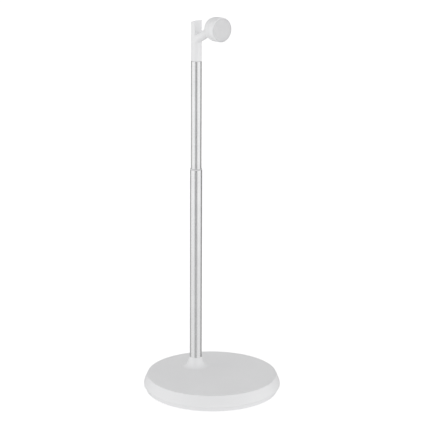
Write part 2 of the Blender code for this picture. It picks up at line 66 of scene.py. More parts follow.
# Camera
FOCAL_LENGTH = 141.64
CAMERA_DISTANCE = 3000.0
CAMERA_ELEVATION = math.radians(14.77)
CAMERA_AZIMUTH = math.radians(-37.33)
CAMERA_ROLL = math.radians(0.274)
TARGET_Z = 332.8
TARGET_RIGHT = 0.49

# Base and collar
BASE_HEIGHT = 29.4
BASE_TOP_RADIUS = 118.0
BASE_WIDEST_Z = 11.0
RIM_CURVE = 1.35
COVER_WALL = 2.8
COVER_EDGE_Z = 8.0
PLINTH_RADIUS = 120.5
COLLAR_FLARE = 15.0
COLLAR_LIP = 1.2
COLLAR_LIP_ROUNDING = 0.35
TOP_EDGE = 0.5
POLE_Y = 50.0
SLEEVE_RADIUS = 14.5
SLEEVE_BOTTOM_Z = 18.0
GAP = 0.3

# Head
HEAD_BOTTOM_Z = 601.0
HEAD_TOP_Z = 674.0
HEAD_TOP_SLANT = math.radians(17)
HEAD_FLAT = 5.7
HEAD_FLAT_BOTTOM_Z = 646.0
HEAD_SPIGOT_RADIUS = 8.4
HEAD_CORE_RADIUS = 5.0
HEAD_CORE_TOP_Z = 630.0
ARM_RADIUS = 8.0
ARM_RISE = math.radians(27.0)
NECK_RADIUS = 4.8
NECK_END = 9.5
TAPER_END = 20.0
BALL_RADIUS = 8.5
PIN_HOLE_RADIUS = 1.8
ARM_FILLET = 2.2
EDGE_ROUNDING = 0.9
BOTTOM_ROUNDING = 0.3
HEAD_SPIGOT_LENGTH = 41.0
HEAD_SPIGOT_ROOT = 2.0
SPIGOT_ROUNDING = 0.8
BLEND = 1.0
PIN_HOLE_REACH = 20
HEAD_VOXEL = 0.55
SETTLING_PASSES = 8
LARGEST_MOVE = 0.8

# Round mount, measured forward from the centre of the ball
BALL = (0.0, -0.5, 664.5)
MOUNT_BACK = -5.5
MOUNT_SEAM = 11.25
MOUNT_FRONT = 23.5
MOUNT_DOME = 5.5
SEAT_EDGE = 2.5
MOUNT_FRONT_ROUNDING = 1.2
MOUNT_WALL = 2.2
REAR_OPENING = 12.5
HUB_RADIUS = 5.3
MAGNET_RADIUS = 15.0
MAGNET_BACK = 14.7
PAD_POCKET = 1.7
PAD_RECESS = 0.2
PAD_BOTTOM = 1.4
PAD_GROOVE_RADIUS = 15.5
PAD_GROOVE_HALF_WIDTH = 0.6
PAD_GROOVE_DEPTH = 0.35

# Tubes and bush
TUBE_WALL = 0.8
BUSH_GAP = 0.15
NUB_Z = 393.5
NUB_RADIUS = 1.9
NUB_ROOT = 0.5

# Tray, feet and screws
TRAY_WALL = 2.5
TRAY_BOTTOM_Z = 0.9
TRAY_FLOOR_Z = 3.5
TRAY_TOP_Z = 13.5
BOLT_HOLE_RADIUS = 10.0
FOOT_CIRCLE = 100.0
FOOT_RADIUS = 9
FOOT_TOP_Z = 0.6
FOOT_GROOVES = (7.0, 5.0, 3.0)
FOOT_GROOVE_HALF_WIDTH = 0.4
FOOT_GROOVE_DEPTH = 0.25
SCREW_CIRCLE = 107.0
SCREW_FACE_Z = 1.0
SCREW_HEAD_RADIUS = 3.5
SCREW_HEAD_TOP_Z = 1.9
SCREW_RADIUS = 1.5
SCREW_TOP_Z = 16
SCREW_SINK_Z = 2.2
CROSS_LENGTH = 3.2
CROSS_WIDTH = 0.75
CROSS_DEPTH = 1.2
HEAD_SCREW_Z = 592.0
HEAD_SCREW_END = 6.3
HEAD_SCREW_BUTTON = 2.6
HEXAGON_RADIUS = 1.15

# Light
SIDE_LIGHT = 1.43
OVERHEAD_LIGHT = 0.61
BOUNCE_LIGHT = 0.8
FRONT_SHARE = 0.88
FLOOR_GLOW = 0.42

# The floor and the screen that reflections see, in metres. The screen's stretches meet at bearings in degrees
# from the camera's, and each one has its brightness low down and higher up.
FLOOR_RADIUS = 30
TENT_RADIUS = 0.6
TENT_HEIGHTS = (-0.9, 1.6)
TENT_SIDES = 96
FRONT_EDGE = (15.0, 28.0)
LEFT_EDGE = (97.0, 116.0)
RIGHT_EDGE = (92.0, 112.0)
BACK_EDGE = (152.0, 166.0)
GAP_HEIGHTS = (-0.1, 0.33)
BOX_HEIGHTS = (-0.1, 0.4)
FRONT_GLOW = (0.42, 0.33)
LEFT_GLOW = (0.4, 0.32)
RIGHT_GLOW = (0.3, 0.16)
BOX_GLOW = (0.85, 0.97)
BACK_GLOW = (0.46, 0.51)

# What lies wholly between these heights is the floor or part of the base, and reflections leave it out.
BASE_LOWEST = -0.5
BASE_HIGHEST = 49.5

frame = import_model()


def add_camera():
    """A long lens to the left of the stand's front, a little above it."""
    right = Vector((math.cos(CAMERA_AZIMUTH), math.sin(CAMERA_AZIMUTH), 0))
    level, lift = math.cos(CAMERA_ELEVATION), math.sin(CAMERA_ELEVATION)
    back = Vector((right.y * level, -right.x * level, lift))
    up = back.cross(right)
    target = Vector((0, 0, TARGET_Z)) + right * TARGET_RIGHT
    place = (target + back * CAMERA_DISTANCE) * MM
    turned_right = right * math.cos(CAMERA_ROLL) + up * math.sin(CAMERA_ROLL)
    turned_up = up * math.cos(CAMERA_ROLL) - right * math.sin(CAMERA_ROLL)
    data = bpy.data.cameras.new("camera")
    data.lens = FOCAL_LENGTH
    data.sensor_width = 36
    data.clip_end = 100
    camera = bpy.data.objects.new("camera", data)
    bpy.context.scene.collection.objects.link(camera)
    columns = Matrix((turned_right, turned_up, back)).transposed().to_4x4()
    camera.matrix_world = Matrix.Translation(place) @ columns
    bpy.context.scene.camera = camera


add_camera()


# Materials


class Nodes:
    """Short ways to build a material's node tree."""

    def __init__(self, name):
        self.material = bpy.data.materials.new(name)
        self.material.use_nodes = True
        self.tree = self.material.node_tree
        self.shader = self.tree.nodes["Principled BSDF"]
        coordinates = self.tree.nodes.new("ShaderNodeTexCoord")
        self.place = coordinates.outputs["Object"]

    def link(self, source, target):
        self.tree.links.new(source, target)

    def add(self, kind, **inputs):
        node = self.tree.nodes.new(kind)
        for name, value in inputs.items():
            node.inputs[name.replace("_", " ")].default_value = value
        return node

    def stretched(self, x, y, z):
        node = self.add("ShaderNodeMapping", Scale=(x, y, z))
        self.link(self.place, node.inputs["Vector"])
        return node.outputs["Vector"]

    def noise(self, scale, detail=3.0, roughness=0.5, vector=None):
        node = self.add("ShaderNodeTexNoise", Scale=scale, Detail=detail, Roughness=roughness)
        self.link(vector or self.place, node.inputs["Vector"])
        return node.outputs["Fac"]

    def between(self, factor, low, high):
        """A factor spread over its middle range, as a number from low to high."""
        node = self.add("ShaderNodeMapRange")
        node.inputs["From Min"].default_value = 0.3
        node.inputs["From Max"].default_value = 0.7
        node.inputs["To Min"].default_value = low
        node.inputs["To Max"].default_value = high
        self.link(factor, node.inputs["Value"])
        return node.outputs["Result"]

    def colours(self, factor, dark, light):
        node = self.tree.nodes.new("ShaderNodeValToRGB")
        ramp = node.color_ramp
        ramp.elements[0].position = 0.3
        ramp.elements[1].position = 0.7
        ramp.elements[0].color = (*dark, 1)
        ramp.elements[1].color = (*light, 1)
        self.link(factor, node.inputs["Fac"])
        return node.outputs["Color"]

    def bump(self, height, distance, strength=1.0):
        node = self.add("ShaderNodeBump", Strength=strength, Distance=distance)
        self.link(height, node.inputs["Height"])
        self.link(node.outputs["Normal"], self.shader.inputs["Normal"])

    def wear(self, dark, light, rough_low, rough_high, scale, metallic=0.0):
        """Slow changes of tone and gloss over the surface."""
        cloud = self.noise(scale)
        self.link(self.colours(cloud, dark, light), self.shader.inputs["Base Color"])
        spread = self.between(self.noise(scale * 2.7, 4), rough_low, rough_high)
        self.link(spread, self.shader.inputs["Roughness"])
        self.shader.inputs["Metallic"].default_value = metallic


def white_plastic():
    nodes = Nodes("white_plastic_satin")
    nodes.wear((0.845, 0.847, 0.857), (0.87, 0.872, 0.879), 0.3, 0.38, 14)
    nodes.bump(nodes.noise(1800, 2), 0.00002, 0.35)
    nodes.shader.inputs["IOR"].default_value = 1.47
    return nodes.material


def pad_rubber():
    nodes = Nodes("pad_silicone")
    nodes.wear((0.68, 0.68, 0.69), (0.715, 0.715, 0.722), 0.62, 0.72, 60)
    nodes.bump(nodes.noise(2600, 3), 0.00003, 0.5)
    return nodes.material


def foot_rubber():
    nodes = Nodes("foot_rubber_black")
    nodes.wear((0.03, 0.03, 0.03), (0.06, 0.06, 0.06), 0.7, 0.85, 120)
    nodes.bump(nodes.noise(1600, 3), 0.00005, 0.6)
    return nodes.material


def polished_steel():
    """Tube polished round its length, so that reflections stretch along it."""
    nodes = Nodes("polished_steel_tube")
    grain = nodes.noise(1.0, 4, 0.6, nodes.stretched(60, 60, 5200))
    cloud = nodes.noise(22, 2)
    colour = nodes.colours(cloud, (0.86, 0.862, 0.87), (0.905, 0.907, 0.912))
    nodes.link(colour, nodes.shader.inputs["Base Color"])
    nodes.link(nodes.between(grain, 0.19, 0.23), nodes.shader.inputs["Roughness"])
    nodes.shader.inputs["Metallic"].default_value = 1.0
    nodes.shader.inputs["Anisotropic"].default_value = 0.9
    tangent = nodes.tree.nodes.new("ShaderNodeTangent")
    tangent.direction_type = "RADIAL"
    tangent.axis = "Z"
    nodes.link(tangent.outputs["Tangent"], nodes.shader.inputs["Tangent"])
    nodes.bump(grain, 0.000002, 0.3)
    return nodes.material


def plain_steel():
    nodes = Nodes("zinc_plated_steel")
    nodes.wear((0.5, 0.5, 0.51), (0.63, 0.63, 0.64), 0.3, 0.45, 300, 1.0)
    nodes.bump(nodes.noise(1400, 3), 0.00001, 0.5)
    return nodes.material


def cast_iron():
    nodes = Nodes("cast_iron_dark")
    nodes.wear((0.13, 0.13, 0.135), (0.22, 0.22, 0.225), 0.6, 0.8, 90, 0.6)
    nodes.bump(nodes.noise(500, 6, 0.7), 0.0003, 0.8)
    return nodes.material


def bush_plastic():
    nodes = Nodes("bearing_plastic")
    nodes.wear((0.69, 0.69, 0.7), (0.75, 0.75, 0.76), 0.42, 0.52, 90)
    nodes.bump(nodes.noise(1500, 2), 0.00002, 0.4)
    return nodes.material


def magnet_metal():
    nodes = Nodes("nickel_plated_magnet")
    nodes.wear((0.42, 0.41, 0.4), (0.5, 0.49, 0.47), 0.25, 0.38, 200, 1.0)
    nodes.bump(nodes.noise(900, 3), 0.00001, 0.4)
    return nodes.material


finishes = {
    "white_plastic": white_plastic(),
    "grey_rubber": pad_rubber(),
    "foot_rubber": foot_rubber(),
    "polished_steel": polished_steel(),
    "plain_steel": plain_steel(),
    "cast_iron": cast_iron(),
    "bush_plastic": bush_plastic(),
    "magnet_metal": magnet_metal(),
}


def finish_cad_nodes():
    """Gives every CAD node that stays the finish of its own material slot."""
    for part in frame["record"]["subparts"]:
        node = frame["nodes"][part["node"]]
        for slot in node.material_slots:
            slot.material = finishes[part["material_slot"]]


finish_cad_nodes()


# Shapes


def rounded(corners, steps=4, closed=True):
    """A profile of (radius, height, rounding) corners, with each rounding turned into an arc."""
    points = []
    count = len(corners)
    for i, (r, z, rounding) in enumerate(corners):
        at_end = not closed and i in (0, count - 1)
        if rounding == 0 or at_end:
            points.append((r, z))
            continue
        here = Vector((r, z))
        before = (Vector(corners[i - 1][:2]) - here).normalized()
        after = (Vector(corners[(i + 1) % count][:2]) - here).normalized()
        half = before.angle(after) / 2
        start = here + before * (rounding / math.tan(half))
        end = here + after * (rounding / math.tan(half))
        centre = here + (before + after).normalized() * (rounding / math.sin(half))
        first, last = start - centre, end - centre
        sweep = first.angle_signed(last)
        for k in range(steps + 1):
            angle = -sweep * k / steps
            x = first.x * math.cos(angle) - first.y * math.sin(angle)
            y = first.x * math.sin(angle) + first.y * math.cos(angle)
            points.append((centre.x + x, centre.y + y))
    return points


def ring_stack(rings, closed=True, segments=SEGMENTS):
    """A mesh through circles of (radius, height, centre's y). A radius of 0 closes an end."""
    shape = bmesh.new()
    loops = []
    for radius, height, centre_y in rings:
        if radius < NOTHING:
            loops.append([shape.verts.new((0, centre_y * MM, height * MM))])
            continue
        loop = []
        for k in range(segments):
            angle = 2 * math.pi * k / segments
            x, y = radius * math.cos(angle), radius * math.sin(angle) + centre_y
            loop.append(shape.verts.new((x * MM, y * MM, height * MM)))
        loops.append(loop)
    pairs = list(zip(loops, loops[1:]))
    if closed:
        pairs.append((loops[-1], loops[0]))
    for low, high in pairs:
        for k in range(segments):
            n = (k + 1) % segments
            corners = [low[k % len(low)], low[n % len(low)], high[n % len(high)], high[k % len(high)]]
            corners = list(dict.fromkeys(corners))
            if len(corners) > 2:
                shape.faces.new(corners)
    bmesh.ops.recalc_face_normals(shape, faces=shape.faces)
    return shape


def add_piece(name, shape, body, slot, nodes, place=None, sharp=math.radians(35)):
    """Turns a bmesh into a finished piece that rides on a body in place of CAD nodes."""
    mesh = bpy.data.meshes.new(name)
    shape.to_mesh(mesh)
    shape.free()
    for face in mesh.polygons:
        face.use_smooth = True
    if sharp:
        mesh.set_sharp_from_angle(angle=sharp)
    mesh.materials.append(finishes[slot])
    piece = bpy.data.objects.new(name, mesh)
    bpy.context.scene.collection.objects.link(piece)
    if place:
        mesh.transform(place)
    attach(piece, body)
    if nodes:
        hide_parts(*nodes)
    return piece


def turned(name, profile, body, slot, nodes, centre=(0, 0, 0), turn=None, closed=True, segments=96):
    """A piece turned about an axis through a point in millimetres."""
    shape = ring_stack([(r, z, 0) for r, z in profile], closed, segments)
    place = Matrix.Translation(Vector(centre) * MM)
    return add_piece(name, shape, body, slot, nodes, place @ turn if turn else place)


def size_of(node):
    """A CAD node's outer radius about the pole, and its lowest and highest z, in millimetres."""
    low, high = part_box(node)
    return (high.x - low.x) / 2 / MM, low.z / MM, high.z / MM


# Base


def quarter_flare(top_radius, low_z, high_z, steps):
    """The collar's outer side from its lip down to where it runs out into the cover."""
    points = []
    for i in range(steps + 1):
        angle = math.radians(90 * i / steps)
        radius = top_radius + COLLAR_FLARE * (1 - math.cos(angle))
        points.append((radius, high_z - (high_z - low_z) * math.sin(angle)))
    return points


def rim(radius, top_radius, top_z, steps):
    """The cover's side from the edge of its top down to where it is widest."""
    points = []
    for i in range(steps + 1):
        share = 1 - i / steps
        z = BASE_WIDEST_Z + (top_z - BASE_WIDEST_Z) * share
        points.append((radius - (radius - top_radius) * share**RIM_CURVE, z))
    return points


def build_cover():
    """The cover in one moulding: rim, top, and the collar that flares up round the pole."""
    outer, _, _ = size_of("base_cover")
    _, _, collar_top = size_of("pole_collar")
    tube_radius, _, _ = size_of("lower_tube")
    top_z = BASE_HEIGHT
    bore = tube_radius + GAP
    lip = bore + COLLAR_LIP - GAP
    lip_z = collar_top - COLLAR_LIP_ROUNDING
    rings = [(bore, SLEEVE_BOTTOM_Z, POLE_Y), (bore, lip_z, POLE_Y)]
    for angle in (150, 120, 90, 60, 30):
        turn = math.radians(angle)
        middle = (bore + lip) / 2
        half = (lip - bore) / 2
        rings.append((middle + half * math.cos(turn), lip_z + COLLAR_LIP_ROUNDING * math.sin(turn), POLE_Y))
    flare = quarter_flare(lip, top_z, lip_z, 26)
    rings += [(r, z, POLE_Y) for r, z in flare]
    foot_radius = flare[-1][0]
    edge = BASE_TOP_RADIUS - TOP_EDGE
    for i in range(1, 25):
        share = i / 24
        radius = foot_radius + (edge - foot_radius) * share
        rings.append((radius, top_z, POLE_Y * (1 - share)))
    side = rim(outer, BASE_TOP_RADIUS, top_z, 22)
    # The top's edge is eased before the rim falls away.
    rings += [(BASE_TOP_RADIUS - 0.17, top_z - 0.06, 0), (BASE_TOP_RADIUS + 0.1, top_z - 0.22, 0)]
    rings += [(r, z, 0) for r, z in side[1:]]
    under = BASE_WIDEST_Z - COVER_EDGE_Z
    for angle in (-15, -30, -45, -60, -75, -90):
        turn = math.radians(angle)
        r = outer - under + under * math.cos(turn)
        rings.append((r, BASE_WIDEST_Z + under * math.sin(turn), 0))
    inner_lip = PLINTH_RADIUS + GAP
    rings += [(inner_lip + 0.3, COVER_EDGE_Z, 0), (inner_lip, COVER_EDGE_Z + 0.3, 0)]
    rings.append((inner_lip, BASE_WIDEST_Z, 0))
    ceiling = top_z - COVER_WALL
    inside = rim(outer - COVER_WALL, BASE_TOP_RADIUS - COVER_WALL, ceiling, 8)
    rings += [(r, z, 0) for r, z in reversed(inside)]
    for share in (0.75, 0.5, 0.25, 0.0):
        radius = SLEEVE_RADIUS + (BASE_TOP_RADIUS - COVER_WALL - SLEEVE_RADIUS) * share
        rings.append((radius, ceiling, POLE_Y * (1 - share)))
    rings.append((SLEEVE_RADIUS, SLEEVE_BOTTOM_Z, POLE_Y))
    shape = ring_stack(rings)
    replaced = ["base_cover", "pole_collar"]
    add_piece("cover_moulding", shape, "base", "white_plastic", replaced, sharp=math.radians(40))


build_cover()


# Head


def smooth_least(a, b, reach):
    """The smaller of two distances, blended where they are within reach of each other."""
    share = np.clip(0.5 + 0.5 * (b - a) / reach, 0, 1)
    return b + (a - b) * share - reach * share * (1 - share)


def smooth_most(a, b, reach):
    """The larger of two distances, blended where they are within reach of each other."""
    return -smooth_least(-a, -b, reach)


def head_distance(points):
    """How far points in millimetres are outside the head's one moulding."""
    x, y, z = points.T
    about_pole = np.hypot(x, y - POLE_Y)
    post = about_pole - size_of("upper_tube")[0]
    fall = (y - POLE_Y + HEAD_FLAT) * math.sin(HEAD_TOP_SLANT)
    above = (z - HEAD_TOP_Z) * math.cos(HEAD_TOP_SLANT) + fall
    post = smooth_most(post, above, EDGE_ROUNDING)
    post = smooth_most(post, HEAD_BOTTOM_Z - z, BOTTOM_ROUNDING)
    in_front = POLE_Y - HEAD_FLAT - y
    post = smooth_most(post, np.minimum(in_front, z - HEAD_FLAT_BOTTOM_Z), EDGE_ROUNDING)
    along = (y - BALL[1]) * math.cos(ARM_RISE) - (z - BALL[2]) * math.sin(ARM_RISE)
    across = (y - BALL[1]) * math.sin(ARM_RISE) + (z - BALL[2]) * math.cos(ARM_RISE)
    about_arm = np.hypot(x, across)
    share = np.clip((along - NECK_END) / (TAPER_END - NECK_END), 0, 1)
    share = share * share * (3 - 2 * share)
    arm = about_arm - (NECK_RADIUS + (ARM_RADIUS - NECK_RADIUS) * share)
    arm = np.maximum(arm, -along)
    arm_length = (POLE_Y - BALL[1]) / math.cos(ARM_RISE)
    arm = smooth_most(arm, along - arm_length, BLEND)
    body = smooth_least(post, arm, ARM_FILLET)
    ball = np.sqrt(x**2 + (y - BALL[1]) ** 2 + (z - BALL[2]) ** 2) - BALL_RADIUS
    body = smooth_least(body, ball, BLEND)
    spigot_low = HEAD_BOTTOM_Z - HEAD_SPIGOT_LENGTH
    spigot = smooth_most(about_pole - HEAD_SPIGOT_RADIUS, spigot_low - z, SPIGOT_ROUNDING)
    spigot = np.maximum(spigot, z - HEAD_BOTTOM_Z - HEAD_SPIGOT_ROOT)
    body = np.minimum(body, spigot)
    core = np.maximum(about_pole - HEAD_CORE_RADIUS, z - HEAD_CORE_TOP_Z)
    body = np.maximum(body, -core)
    pin = np.hypot(y - BALL[1], z - BALL[2]) - PIN_HOLE_RADIUS
    pin = np.maximum(pin, np.abs(x) - PIN_HOLE_REACH)
    return np.maximum(body, -pin)


def slope(points, step=0.02):
    """Which way the distance to the head grows, and how fast, at each point."""
    found = np.zeros_like(points)
    for axis in range(3):
        shift = np.zeros(3)
        shift[axis] = step
        rise = head_distance(points + shift) - head_distance(points - shift)
        found[:, axis] = rise / (2 * step)
    return found


def build_head():
    """The post, its flat and the arm with its ball, with the arm blended into the post."""
    source = frame["nodes"]["head_body"]
    holder = bpy.data.objects.new("head_moulding", source.data.copy())
    bpy.context.scene.collection.objects.link(holder)
    remesh = holder.modifiers.new("remesh", "REMESH")
    remesh.mode = "VOXEL"
    remesh.voxel_size = HEAD_VOXEL * MM
    view = bpy.context.evaluated_depsgraph_get()
    dense = bpy.data.meshes.new_from_object(holder.evaluated_get(view))
    holder.modifiers.clear()
    holder.data = dense
    flat = np.zeros(len(dense.vertices) * 3)
    dense.vertices.foreach_get("co", flat)
    points = flat.reshape(-1, 3) / MM
    for _ in range(SETTLING_PASSES):
        normal = slope(points)
        steepness = np.maximum((normal**2).sum(1), 0.2)
        step = head_distance(points)[:, None] * normal / steepness[:, None]
        points = points - np.clip(step, -LARGEST_MOVE, LARGEST_MOVE)
    dense.vertices.foreach_set("co", (points * MM).ravel())
    for face in dense.polygons:
        face.use_smooth = True
    normals = slope(points)
    normals /= np.maximum(np.linalg.norm(normals, axis=1), NOTHING)[:, None]
    dense.normals_split_custom_set_from_vertices([tuple(n) for n in normals])
    dense.materials.clear()
    dense.materials.append(finishes["white_plastic"])
    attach(holder, "upper_pole")
    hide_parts("head_body")


build_head()


# Tubes


def build_tubes():
    """The two stages of the pole, each with its ends eased."""
    lower_radius, lower_z, lower_top = size_of("lower_tube")
    upper_radius, upper_z, upper_top = size_of("upper_tube")
    pole = (0, POLE_Y, 0)
    for name, radius, low, high, body in (
        ("lower_tube_shell", lower_radius, lower_z, lower_top, "base"),
        ("upper_tube_shell", upper_radius, upper_z, upper_top, "upper_pole"),
    ):
        bore = radius - TUBE_WALL
        corners = [(radius, low, 0.15), (bore, low, 0.15), (bore, high, 0.15), (radius, high, 0.25)]
        node = name.removesuffix("_shell")
        turned(name, rounded(corners), body, "polished_steel", [node], pole, segments=128)


def build_bush():
    """The bush's flange is the ring at the joint of the two tubes; two nubs lock it in the tube."""
    tube_radius, _, tube_top = size_of("lower_tube")
    upper_radius, _, _ = size_of("upper_tube")
    _, low, high = size_of("guide_bush")
    bore = upper_radius + BUSH_GAP
    sleeve = tube_radius - TUBE_WALL - BUSH_GAP
    step = tube_top + BUSH_GAP
    corners = [(bore, high, 0.25), (bore, low, 0.4), (sleeve, low, 0.3)]
    corners += [(sleeve, step, 0), (tube_radius, step, 0.12), (tube_radius, high, 0.45)]
    turned("bush_ring", rounded(corners), "base", "bush_plastic", ["guide_bush"], (0, POLE_Y, 0))
    for side in (-1, 1):
        corners = [(0, sleeve - NUB_ROOT, 0), (NUB_RADIUS, sleeve - NUB_ROOT, 0)]
        corners += [(NUB_RADIUS, tube_radius + 0.12, 0.3), (0, tube_radius + 0.15, 0)]
        turned(
            f"bush_nub_{'left' if side < 0 else 'right'}",
            rounded(corners, closed=False),
            "base",
            "bush_plastic",
            [],
            (0, POLE_Y, NUB_Z),
            Matrix.Rotation(math.radians(90 * side), 4, "Y"),
            closed=False,
            segments=32,
        )


# Round mount


TOWARDS_FRONT = Matrix.Rotation(math.radians(90), 4, "X")


def build_mount():
    """Two shells that meet at a shadow line, and the pad in the front one."""
    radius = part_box("mount_face_housing")[1].x / MM
    pad_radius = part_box("face_pad")[1].x / MM
    inner = radius - MOUNT_WALL
    seat = BALL_RADIUS + GAP
    back_seat = math.sqrt(seat**2 - SEAT_EDGE**2)
    front_seat = math.sqrt(seat**2 - 1)
    seam_back, seam_front = MOUNT_SEAM - GAP / 2, MOUNT_SEAM + GAP / 2
    corners = [(inner, seam_back, 0), (radius - 0.45, seam_back, 0), (radius - 0.13, seam_back - 0.13, 0)]
    for i in range(1, 25):
        angle = math.radians(90 * i / 24)
        side = radius - MOUNT_DOME * (1 - math.cos(angle))
        corners.append((side, seam_back - (seam_back - MOUNT_BACK) * math.sin(angle), 0))
    corners += [(REAR_OPENING, MOUNT_BACK, 0.6), (back_seat, -SEAT_EDGE, 0), (front_seat, -1.0, 0.2)]
    corners += [(REAR_OPENING, -1.6, 0.5), (16.0, -0.6, 0.8), (inner - 1, 3.0, 1.0), (inner, 6.0, 1.0)]
    turned(
        "mount_rear_moulding", rounded(corners, 12), "mount_rear", "white_plastic",
        ["mount_rear_shell"], BALL, TOWARDS_FRONT, segments=SEGMENTS,
    )
    pocket = pad_radius + GAP
    floor = MOUNT_FRONT - PAD_POCKET
    corners = [(radius, seam_front, 0.45), (HUB_RADIUS, seam_front, 0.2)]
    corners += [(HUB_RADIUS, MAGNET_BACK, 0), (MAGNET_RADIUS, MAGNET_BACK, 0)]
    corners += [(MAGNET_RADIUS, floor, 0), (pocket, floor, 0), (pocket, MOUNT_FRONT, 0.12)]
    corners += [(radius, MOUNT_FRONT, MOUNT_FRONT_ROUNDING)]
    turned(
        "mount_face_moulding", rounded(corners, 8), "mount_face", "white_plastic",
        ["mount_face_housing"], BALL, TOWARDS_FRONT, segments=SEGMENTS,
    )
    high = MOUNT_FRONT - PAD_RECESS
    low = MOUNT_FRONT - PAD_BOTTOM
    corners = [(0, low, 0), (pad_radius, low, 0.2), (pad_radius, high, 0.35)]
    corners.append((PAD_GROOVE_RADIUS + PAD_GROOVE_HALF_WIDTH, high, 0.1))
    corners.append((PAD_GROOVE_RADIUS, high - PAD_GROOVE_DEPTH, 0.1))
    corners.append((PAD_GROOVE_RADIUS - PAD_GROOVE_HALF_WIDTH, high, 0.1))
    corners.append((0, high, 0))
    turned(
        "pad_disc", rounded(corners, 4, closed=False), "mount_face", "grey_rubber",
        ["face_pad"], BALL, TOWARDS_FRONT, closed=False, segments=SEGMENTS,
    )


# Feet, tray and screws


def carve(piece, cutters):
    """Cuts bmesh shapes out of a piece for good."""
    made = []
    for k, shape in enumerate(cutters):
        mesh = bpy.data.meshes.new(f"cutter_{k}")
        shape.to_mesh(mesh)
        shape.free()
        tool = bpy.data.objects.new(f"cutter_{k}", mesh)
        bpy.context.scene.collection.objects.link(tool)
        change = piece.modifiers.new("carve", "BOOLEAN")
        change.operation = "DIFFERENCE"
        change.solver = "EXACT"
        change.object = tool
        made.append(tool)
    view = bpy.context.evaluated_depsgraph_get()
    carved = bpy.data.meshes.new_from_object(piece.evaluated_get(view))
    piece.modifiers.clear()
    piece.data = carved
    carved.set_sharp_from_angle(angle=math.radians(35))
    for tool in made:
        bpy.data.objects.remove(tool)


def upright(radius, low, high, sides=48):
    """A solid bar that stands on the z axis."""
    return ring_stack([(0, low, 0), (radius, low, 0), (radius, high, 0), (0, high, 0)], False, sides)


def round_cutter(x, y, radius, low, high):
    shape = upright(radius, low, high)
    bmesh.ops.translate(shape, vec=(x * MM, y * MM, 0), verts=shape.verts)
    return shape


def box_cutter(centre, size, place):
    shape = bmesh.new()
    bmesh.ops.create_cube(shape, size=1.0)
    bmesh.ops.scale(shape, vec=[v * MM for v in size], verts=shape.verts)
    bmesh.ops.translate(shape, vec=[v * MM for v in centre], verts=shape.verts)
    bmesh.ops.transform(shape, matrix=place, verts=shape.verts)
    return shape


def around(radius, first_angle):
    """Four places evenly round a circle, each with its number."""
    for k in range(4):
        angle = math.radians(first_angle + 90 * k)
        yield k + 1, radius * math.cos(angle), radius * math.sin(angle)


def build_tray():
    """The base's floor, with a hole for the pole's bolt and a sunk hole for each screw."""
    outer = PLINTH_RADIUS
    inner = outer - TRAY_WALL
    corners = [(0, TRAY_FLOOR_Z, 0), (inner, TRAY_FLOOR_Z, 1.2), (inner, TRAY_TOP_Z, 0.3)]
    corners += [(outer, TRAY_TOP_Z, 0.3), (outer, TRAY_BOTTOM_Z, 0.8), (0, TRAY_BOTTOM_Z, 0)]
    tray = turned(
        "tray_moulding", rounded(corners, 5, False), "base", "white_plastic",
        ["base_tray"], closed=False, segments=SEGMENTS,
    )
    cutters = [round_cutter(0, POLE_Y, BOLT_HOLE_RADIUS, 0, 10)]
    for _, x, y in around(SCREW_CIRCLE, 45):
        cutters.append(round_cutter(x, y, SCREW_RADIUS + 0.4, SCREW_SINK_Z, 10))
        cutters.append(round_cutter(x, y, SCREW_HEAD_RADIUS + 0.4, 0, SCREW_SINK_Z))
    carve(tray, cutters)


def build_feet():
    """Four rubber pads with rings pressed into their soles."""
    corners = [(0, FOOT_TOP_Z, 0), (FOOT_RADIUS, FOOT_TOP_Z, 0.1), (FOOT_RADIUS, 0, 0.25)]
    for groove in FOOT_GROOVES:
        corners.append((groove + FOOT_GROOVE_HALF_WIDTH, 0, 0.05))
        corners.append((groove, FOOT_GROOVE_DEPTH, 0.05))
        corners.append((groove - FOOT_GROOVE_HALF_WIDTH, 0, 0.05))
    corners.append((0, 0, 0))
    profile = rounded(corners, 3, closed=False)
    for k, x, y in around(FOOT_CIRCLE, 0):
        turned(
            f"foot_{k}", profile, "base", "foot_rubber",
            [f"foot_pad_{k}"], (x, y, 0), closed=False, segments=64,
        )


def build_tray_screws():
    """Flat-headed screws with a cross recess, under the base."""
    corners = [(0, SCREW_FACE_Z, 0), (SCREW_HEAD_RADIUS, SCREW_FACE_Z, 0.3)]
    corners += [(SCREW_HEAD_RADIUS, SCREW_HEAD_TOP_Z, 0.1), (SCREW_RADIUS, SCREW_HEAD_TOP_Z, 0)]
    corners += [(SCREW_RADIUS, SCREW_TOP_Z, 0.3), (0, SCREW_TOP_Z, 0)]
    profile = rounded(corners, 3, False)
    slots = [(CROSS_LENGTH, CROSS_WIDTH, CROSS_DEPTH), (CROSS_WIDTH, CROSS_LENGTH, CROSS_DEPTH)]
    for k, x, y in around(SCREW_CIRCLE, 45):
        screw = turned(
            f"base_screw_{k}", profile, "base", "plain_steel",
            [f"tray_screw_{k}"], (x, y, 0), closed=False, segments=48,
        )
        place = Matrix.Translation(Vector((x, y, 0)) * MM)
        carve(screw, [box_cutter((0, 0, SCREW_FACE_Z), size, place) for size in slots])


